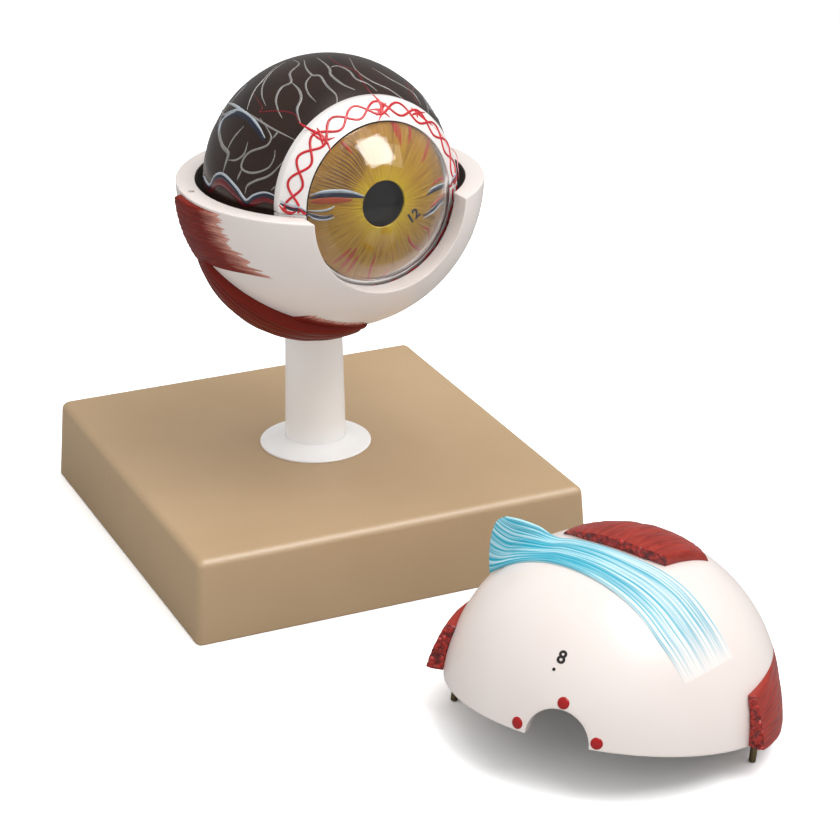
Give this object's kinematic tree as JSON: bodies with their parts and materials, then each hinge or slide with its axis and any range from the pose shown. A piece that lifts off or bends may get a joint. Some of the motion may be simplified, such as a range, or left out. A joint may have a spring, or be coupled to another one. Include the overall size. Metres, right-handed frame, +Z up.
{
  "type": "eye anatomy model",
  "caption": "Take-apart model of a human eye on a post and square base, with the upper white shell half lying beside it.",
  "frame": {"origin": "middle of the base's underside", "axes": "+Z up, X along the base's width, the eye looks towards -Y"},
  "size_m": [0.2108, 0.4162, 0.2427],
  "materials": {
    "base": "smooth moulding, light tan",
    "cover": "plain sheet, dark brown",
    "screw": "zinc plated",
    "post": "smooth, warm white",
    "sclera": "hand painted, warm white",
    "pad": "soft, dark grey",
    "muscle": "hand painted, streaked brick red",
    "tendon": "hand painted, streaked cyan",
    "choroid": "painted dark brown with vessels, varnished",
    "ciliary_ring": "painted white with red vessels",
    "retina": "painted orange",
    "ciliary_body": "painted brown",
    "nerve": "painted pale yellow",
    "vessel": "painted red",
    "dowel": "plain rod",
    "vitreous": "clear cast resin",
    "lens": "clear, polished",
    "iris": "painted gold with brown strokes",
    "cornea": "clear, polished dome"
  },
  "bodies": {
    "stand": {"base_block": "base", "base_cover": "cover", "cover_screws": "screw", "post_flange": "post", "stand_post": "post", "post_screw": "screw", "post_washer": "screw", "cup_screw": "screw", "sclera_lower": "sclera", "seat_pads": "pad", "lateral_rectus_lower": "muscle", "medial_rectus_lower": "muscle", "inferior_rectus": "muscle", "inferior_oblique": "muscle"},
    "cap": {"sclera_upper": "sclera", "lateral_rectus_upper": "muscle", "medial_rectus_upper": "muscle", "superior_rectus": "muscle", "superior_oblique": "tendon", "sclera_dowels": "dowel"},
    "eyeball": {"choroid_lower": "choroid", "ciliary_ring_lower": "ciliary_ring", "retina_lower": "retina", "ciliary_body": "ciliary_body", "optic_nerve": "nerve", "nerve_vessels": "vessel", "ball_dowels": "dowel"},
    "choroid_top": {"choroid_upper": "choroid", "ciliary_ring_upper": "ciliary_ring", "retina_upper": "retina"},
    "vitreous": {"vitreous_body": "vitreous"},
    "lens": {"lens": "lens"},
    "iris": {"iris": "iris"},
    "cornea": {"cornea": "cornea"}
  },
  "joints": [
    {"name": "cap_lift", "type": "slide", "parent": "stand", "child": "cap", "axis": [0, 0, 1], "range_m": [0, 0.1]},
    {"name": "eyeball_lift", "type": "slide", "parent": "stand", "child": "eyeball", "axis": [0, 0, 1], "range_m": [0, 0.13]},
    {"name": "choroid_top_lift", "type": "slide", "parent": "eyeball", "child": "choroid_top", "axis": [-0.0044, 0.0416, 0.9991], "range_m": [0, 0.16]},
    {"name": "vitreous_lift", "type": "slide", "parent": "eyeball", "child": "vitreous", "axis": [-0.0044, 0.0416, 0.9991], "range_m": [0, 0.08]},
    {"name": "cornea_slide", "type": "slide", "parent": "eyeball", "child": "cornea", "axis": [0.1044, -0.9936, 0.0419], "range_m": [0, 0.06]},
    {"name": "iris_slide", "type": "slide", "parent": "eyeball", "child": "iris", "axis": [0.1044, -0.9936, 0.0419], "range_m": [0, 0.04]},
    {"name": "lens_slide", "type": "slide", "parent": "eyeball", "child": "lens", "axis": [0.1044, -0.9936, 0.0419], "range_m": [0, 0.02]}
  ],
  "couplings": [
    {"joint": "vitreous_lift", "follows": "choroid_top_lift", "ratio": 0.5},
    {"joint": "iris_slide", "follows": "cornea_slide", "ratio": 0.66667},
    {"joint": "lens_slide", "follows": "cornea_slide", "ratio": 0.33333}
  ]
}
